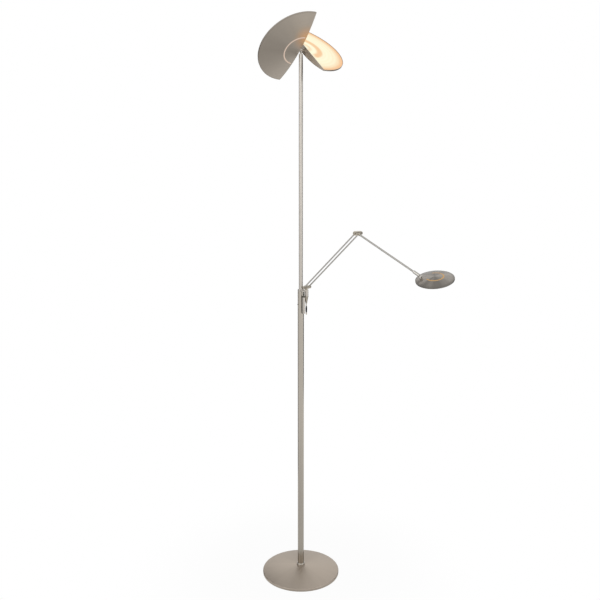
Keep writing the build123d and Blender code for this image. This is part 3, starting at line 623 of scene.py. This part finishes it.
# ------------------------------------------------------------------ pieces
class LAMP_OT_dress_dishes(bpy.types.Operator):
    """Finish the two half dishes' shades and cut walls"""

    bl_idname = "lamp.dress_dishes"
    bl_label = "Half dishes"

    def execute(self, context):
        finishes, light, sizes = settings()
        tone, pitch = finishes.shade_tone, sizes.brush_pitch
        # Painted light: the cut walls are the shades' satin nickel made 1.65 times lighter, so they look
        # more brightly lit than the shades.
        lit_wall_tone = lighter(tone, 1.65)
        edge = (sizes.dish_radius, *DISH_EDGE)
        for side in SIDES:
            centre, opening, line = dish_place(side, sizes)
            cut = opening.cross(line)
            name = f"{side}_shade_satin"
            finish, satin = satin_disc(name, centre, opening, tone, pitch, edge=edge, bow=(cut, 0.65))
            if side == "left":
                satin |= self.spill(finish, centre + cut * SPILL_PLACE, satin["Base_Color"], light)
            clothe(finish.surface(**satin), f"{side}_shade")
            wall = satin_run(f"{side}_wall_satin", opening, lit_wall_tone, pitch, roughness=0.4)
            clothe(wall, f"{side}_cut_plate")
        return {"FINISHED"}

    def spill(self, finish, spot, colour, light):
        """Warm light that the other dish throws on this one beside the cut."""
        near = 1 - finish.place.minus(spot).length().step(0.0, SPILL_REACH)
        return {
            "Base_Color": finish.mix(near, colour, lighter(light.rim_tone, SPILL_TINT)),
            "Emission_Color": finish.mix(near, (0, 0, 0), light.rim_tone),
            "Emission_Strength": SPILL_STRENGTH,
        }


class LAMP_OT_dress_lights(bpy.types.Operator):
    """Finish the opal faces, the ring lenses and the light boards"""

    bl_idname = "lamp.dress_lights"
    bl_label = "Lit faces"

    def execute(self, context):
        _, light, sizes = settings()
        heads = {
            side: (*dish_place(side, sizes), sizes.dish_radius, light.ring_tone) for side in SIDES
        }
        centre, axis = reading_place()
        line = axis.orthogonal().normalized()
        heads["reading"] = (centre, axis, line, sizes.reading_radius, light.reading_ring_tone)
        for head, (centre, axis, line, radius, ring_tone) in heads.items():
            clothe(opal_face(f"{head}_opal", centre, axis, line, radius, light), f"{head}_diffuser")
            clothe(ring_glow(f"{head}_ring_glow", ring_tone, light.ring_strength), f"{head}_ring_lens")
            clothe(light_board(f"{head}_board_white", centre, axis, line), f"{head}_led_board")
        return {"FINISHED"}


class LAMP_OT_dress_base(bpy.types.Operator):
    """Finish the base's cover, weight and pad"""

    bl_idname = "lamp.dress_base"
    bl_label = "Base"

    def execute(self, context):
        finishes, _, sizes = settings()
        finish, satin = satin_disc(
            "base_satin", POLE_FOOT, UP, finishes.base_tone, sizes.brush_pitch,
            roughness=0.46, bow=(ACROSS, 0.5),
        )
        clothe(finish.surface(**satin), "base_cover")
        clothe(self.cast_iron("weight_cast_iron"), "base_weight")
        clothe(self.foam("pad_foam"), "base_pad")
        return {"FINISHED"}

    def cast_iron(self, name):
        """Rough dark casting."""
        iron = Finish.of_material(name)
        grain = iron.noise(iron.place, scale=260.0, detail=4.0, roughness=0.65)
        return iron.surface(
            Base_Color=iron.mix(grain, (0.02, 0.02, 0.02), (0.06, 0.055, 0.05)), Metallic=0.4,
            Roughness=0.6 + grain * 0.2, Normal=iron.bump(grain, depth=0.4 * MM, strength=0.6),
        )

    def foam(self, name):
        """Black closed-cell foam."""
        pad = Finish.of_material(name)
        cells = pad.cells(scale=900.0)
        return pad.surface(
            Base_Color=pad.mix(cells, (0.012, 0.012, 0.013), (0.035, 0.035, 0.036)), Roughness=0.9,
            Normal=pad.bump(cells, depth=0.2 * MM, strength=0.5),
        )


class LAMP_OT_dress_poles(bpy.types.Operator):
    """Finish the two poles and the fittings on them"""

    bl_idname = "lamp.dress_poles"
    bl_label = "Poles"

    def execute(self, context):
        finishes, _, sizes = settings()
        tone, pitch = finishes.pole_tone, sizes.brush_pitch
        clothe(satin_run("upper_pole_satin", UP, tone, pitch), "upper_pole")
        lower = satin_run("lower_pole_satin", UP, finishes.lower_pole_tone, pitch, roughness=0.2)
        clothe(lower, "lower_pole")
        finish, satin = satin_disc("fitting_satin", POLE_FOOT, UP, tone, pitch, roughness=0.34)
        clothe(finish.surface(**satin), "pole_foot_collar", "pole_cap_bracket", "head_neck")
        clothe(satin_run("socket_satin", UP, tone, pitch), "swivel_socket")
        clothe(dark_coat("set_screw_dark", finishes.screw_tone), "pole_set_screw")
        return {"FINISHED"}


class LAMP_OT_dress_arm(bpy.types.Operator):
    """Finish the reading arm's rods, barrels, pins and knobs"""

    bl_idname = "lamp.dress_arm"
    bl_label = "Reading arm"

    def execute(self, context):
        finishes, _, sizes = settings()
        pitch = sizes.brush_pitch
        shoulder, hinge_line = joint_place("shoulder_hinge")
        elbow, _ = joint_place("elbow_hinge")
        _, upper_line = joint_place("wrist_roll")
        lower_line = (elbow - shoulder).normalized()
        clothe(bright_run("lower_rod_nickel", lower_line, finishes.rod_tone, pitch), "lower_arm_rods")
        upper_tone = lighter(finishes.rod_tone, 0.8)
        clothe(bright_run("upper_rod_nickel", upper_line, upper_tone, pitch), "upper_arm_rod")
        sleeve = bright_run("sleeve_nickel", upper_line, finishes.rod_tone, pitch, roughness=0.1)
        clothe(sleeve, "wrist_sleeve")
        clothe(
            satin_run("barrel_nickel", hinge_line, finishes.knuckle_tone, pitch, roughness=0.32),
            "shoulder_barrels", "elbow_barrels", "elbow_eye", "swivel_post", "shoulder_knob", "elbow_knob",
        )
        pin_tone = lighter(finishes.knuckle_tone, 0.62)
        pin = satin_run("pin_nickel", hinge_line, pin_tone, pitch, roughness=0.3)
        clothe(pin, "elbow_pin", "shoulder_pin")
        clothe(bright_run("yoke_nickel", UP, finishes.yoke_tone, pitch), "head_yoke", "tilt_pin")
        return {"FINISHED"}


class LAMP_OT_dress_reading_head(bpy.types.Operator):
    """Finish the reading head's shade"""

    bl_idname = "lamp.dress_reading_head"
    bl_label = "Reading head"

    def execute(self, context):
        finishes, _, sizes = settings()
        centre, axis = reading_place()
        level = axis.cross(UP).normalized()
        finish, satin = satin_disc(
            "reading_satin", centre, axis, finishes.reading_tone, sizes.brush_pitch, roughness=0.36,
            edge=(sizes.reading_radius, *READING_EDGE), bow=(turned(level, axis, math.radians(20)), 0.7),
            streaks=1.6, swing=0.34,
        )
        clothe(finish.surface(**satin), "reading_shade")
        return {"FINISHED"}


class LAMP_OT_dress_dimmers(bpy.types.Operator):
    """Finish the stick dimmer and the tube dimmer"""

    bl_idname = "lamp.dress_dimmers"
    bl_label = "Dimmers"

    def execute(self, context):
        finishes, _, sizes = settings()
        pitch = sizes.brush_pitch
        # Painted shade on the tube's side towards the pole.
        tube = satin_run(
            "dimmer_satin", UP, lighter(finishes.pole_tone, 1.1), pitch, roughness=0.18,
            painted_shade_side=(box_middle("dimmer_tube"), TUBE_PAINTED_SHADE_SIDE, TUBE_PAINTED_SHADE_STRENGTH),
        )
        clothe(tube, "dimmer_tube", "dimmer_knob", "tube_standoff")
        clothe(dark_coat("hanger_dark", finishes.hanger_tone), "tube_hanger")
        clothe(satin_run("cone_satin", UP, lighter(finishes.knuckle_tone, 0.8), pitch), "stick_cone")
        clothe(bright_run("stem_nickel", UP, finishes.knuckle_tone, pitch), "stick_stem")
        clothe(self.rubber("grip_black", finishes.grip_tone), "stick_grip")
        return {"FINISHED"}

    def rubber(self, name, tone):
        """Dull, finely grained rubber."""
        grip = Finish.of_material(name)
        grain = grip.noise(grip.place, scale=1200.0, detail=3.0)
        return grip.surface(
            Base_Color=grip.swing(grain, tone, dark=1.0, light=2.2), Roughness=0.7 + grain * 0.2,
            Specular_IOR_Level=0.1, Normal=grip.bump(grain, depth=0.05 * MM, strength=0.3),
        )


class LAMP_OT_dress_fasteners(bpy.types.Operator):
    """Finish the small and hidden pieces: bolt, washers, bushes, nuts and plugs"""

    bl_idname = "lamp.dress_fasteners"
    bl_label = "Fasteners"

    def execute(self, context):
        clothe(
            self.zinc("fastener_zinc"), "tie_washer", "pole_tie_bolt", "pole_foot_plug", "post_retainer",
            "stud_nut", "head_axle", "axle_nuts",
        )
        clothe(
            self.nylon("bush_nylon"), "cord_inlet_bush", "pole_joint_bush", "swivel_bush", "axle_washers",
            "dimmer_core",
        )
        return {"FINISHED"}

    def zinc(self, name):
        """Zinc plating with a faint spangle."""
        zinc = Finish.of_material(name)
        wear = zinc.noise(zinc.place, scale=120.0, detail=3.0)
        return zinc.surface(
            Base_Color=zinc.mix(0.12, (0.55, 0.55, 0.54), zinc.cells(scale=420.0, out="Color")),
            Metallic=1.0, Roughness=0.3 + wear * 0.2,
            Normal=zinc.bump(wear, depth=0.04 * MM, strength=0.4),
        )

    def nylon(self, name):
        """Black moulded nylon."""
        nylon = Finish.of_material(name)
        grain = nylon.noise(nylon.place, scale=650.0)
        return nylon.surface(
            Base_Color=nylon.mix(grain, (0.018, 0.018, 0.019), (0.035, 0.035, 0.036)),
            Roughness=0.42 + grain * 0.14, Normal=nylon.bump(grain, depth=0.04 * MM, strength=0.5),
        )


# ------------------------------------------------------------------ stage
class LAMP_OT_set_stage(bpy.types.Operator):
    """Set the floor, the white surroundings, the cards, the soft lights and the camera"""

    bl_idname = "lamp.set_stage"
    bl_label = "Stage"

    def execute(self, context):
        self.floor()
        self.surroundings()
        for name, (left, right) in CARDS.items():
            self.card(name, left, right)
        for name, (spot, size, watts) in LIGHTS.items():
            self.soft_light(name, Vector(spot), size, watts)
        self.camera()
        context.scene.view_settings.view_transform = "Standard"
        return {"FINISHED"}

    def floor(self):
        """Round pale floor that fades into the white backdrop and keeps the lamp's shadow."""
        mesh = bpy.data.meshes.new("floor")
        turns = (math.tau * i / FLOOR_CORNERS for i in range(FLOOR_CORNERS))
        corners = [(FLOOR_RADIUS * math.cos(turn), FLOOR_RADIUS * math.sin(turn), 0) for turn in turns]
        mesh.from_pydata(corners, [], [tuple(range(FLOOR_CORNERS))])
        floor = put_in_scene("floor", mesh)
        finish = Finish.of_material("floor_white")
        speck = finish.noise(finish.place, scale=30.0)
        colour = finish.mix(speck, (0.78, 0.78, 0.78), (0.82, 0.82, 0.82))
        pale = finish.node("ShaderNodeBsdfDiffuse", sockets={"Color": colour})
        white = finish.node("ShaderNodeEmission", sockets={"Color": (1, 1, 1), "Strength": 1.0})
        reach = finish.place.length()
        shadow = SHADOW_SHARE * (1 - reach.step(*SHADOW_FADE))
        grey = REFLECTED_SHARE * (1 - reach.step(*REFLECTED_FADE))
        straight = finish.ray("Camera") * (1 - shadow)
        reflected = self.looked_at(finish) * (1 - grey)
        shader = finish.blend(straight.at_least(reflected), pale, white)
        finish.node("ShaderNodeOutputMaterial", sockets={"Surface": shader})
        mesh.materials.append(finish.owner)

    def looked_at(self, finish):
        """1 for rays from the camera and their mirror and glass bounces."""
        glossy, through = finish.ray("Glossy"), finish.ray("Transmission")
        return finish.ray("Camera").at_least(glossy).at_least(through)

    def surroundings(self):
        """White room to look at, and a softer one to be lit by."""
        room = Finish(bpy.data.worlds.new("white_room"))
        bpy.context.scene.world = room.owner
        soft, white = (
            room.node("ShaderNodeBackground", sockets={"Color": (1, 1, 1), "Strength": strength})
            for strength in (ROOM_GLOW, 1.0)
        )
        shader = room.blend(self.looked_at(room), soft, white)
        room.node("ShaderNodeOutputWorld", sockets={"Surface": shader})

    def card(self, name, left, right):
        """Tall dark studio card, which only the metal's reflections show."""
        mesh = bpy.data.meshes.new(name)
        corners = [(*left, 0), (*right, 0), (*right, CARD_HEIGHT), (*left, CARD_HEIGHT)]
        mesh.from_pydata(corners, [], [(0, 1, 2, 3)])
        card = put_in_scene(name, mesh)
        finish = Finish.of_material(f"{name}_grey")
        weave = finish.noise(finish.place, scale=40.0)
        colour = finish.mix(weave, (0.03, 0.03, 0.03), (0.05, 0.05, 0.05))
        mesh.materials.append(finish.surface(Base_Color=colour, Roughness=0.9))
        card.visible_camera = card.visible_diffuse = card.visible_shadow = False

    def soft_light(self, name, spot, size, watts):
        """Soft rectangular studio light, aimed at the middle of the lamp."""
        light = bpy.data.lights.new(name, "AREA")
        light.shape = "RECTANGLE"
        light.size, light.size_y = size
        light.energy = watts
        stand = put_in_scene(name, light)
        stand.location = spot
        stand.rotation_euler = (LIGHTS_AIM - spot).to_track_quat("-Z", "Y").to_euler()

    def camera(self):
        """Camera of the photographed view."""
        scene = bpy.context.scene
        view = scene.lamp_camera
        optics = bpy.data.cameras.new("photo_camera")
        optics.lens = view.lens
        optics.sensor_width = SENSOR_MM
        camera = put_in_scene("photo_camera", optics)
        camera.location = (view.shift, -view.distance, view.height)
        camera.rotation_euler = (view.tilt, 0, 0)
        scene.camera = camera


class LAMP_PT_sidebar(bpy.types.Panel):
    """Lists the operators that build the lamp's looks, and their settings"""

    bl_label = "Floor lamp"
    bl_idname = "LAMP_PT_sidebar"
    bl_space_type = "VIEW_3D"
    bl_region_type = "UI"
    bl_category = "Floor lamp"

    def draw(self, context):
        for operator in OPERATORS:
            self.layout.operator(operator.bl_idname)
        for name, group in GROUPS.items():
            box = self.layout.box()
            for key in group.__annotations__:
                box.prop(getattr(context.scene, name), key)


OPERATORS = (
    LAMP_OT_set_stage,
    LAMP_OT_dress_dishes,
    LAMP_OT_dress_lights,
    LAMP_OT_dress_base,
    LAMP_OT_dress_poles,
    LAMP_OT_dress_arm,
    LAMP_OT_dress_reading_head,
    LAMP_OT_dress_dimmers,
    LAMP_OT_dress_fasteners,
)
GROUPS = {
    "lamp_finishes": LampFinishes,
    "lamp_light": LampLight,
    "lamp_sizes": LampSizes,
    "lamp_camera": LampCamera,
}


def register():
    for cls in (*GROUPS.values(), *OPERATORS, LAMP_PT_sidebar):
        bpy.utils.register_class(cls)
    for name, group in GROUPS.items():
        setattr(bpy.types.Scene, name, bpy.props.PointerProperty(type=group))


def unregister():
    for name in GROUPS:
        delattr(bpy.types.Scene, name)
    for cls in (LAMP_PT_sidebar, *reversed(OPERATORS), *reversed(GROUPS.values())):
        bpy.utils.unregister_class(cls)


def main():
    register()
    for operator in OPERATORS:
        group, name = operator.bl_idname.split(".")
        getattr(getattr(bpy.ops, group), name)()


if __name__ == "__main__":
    main()
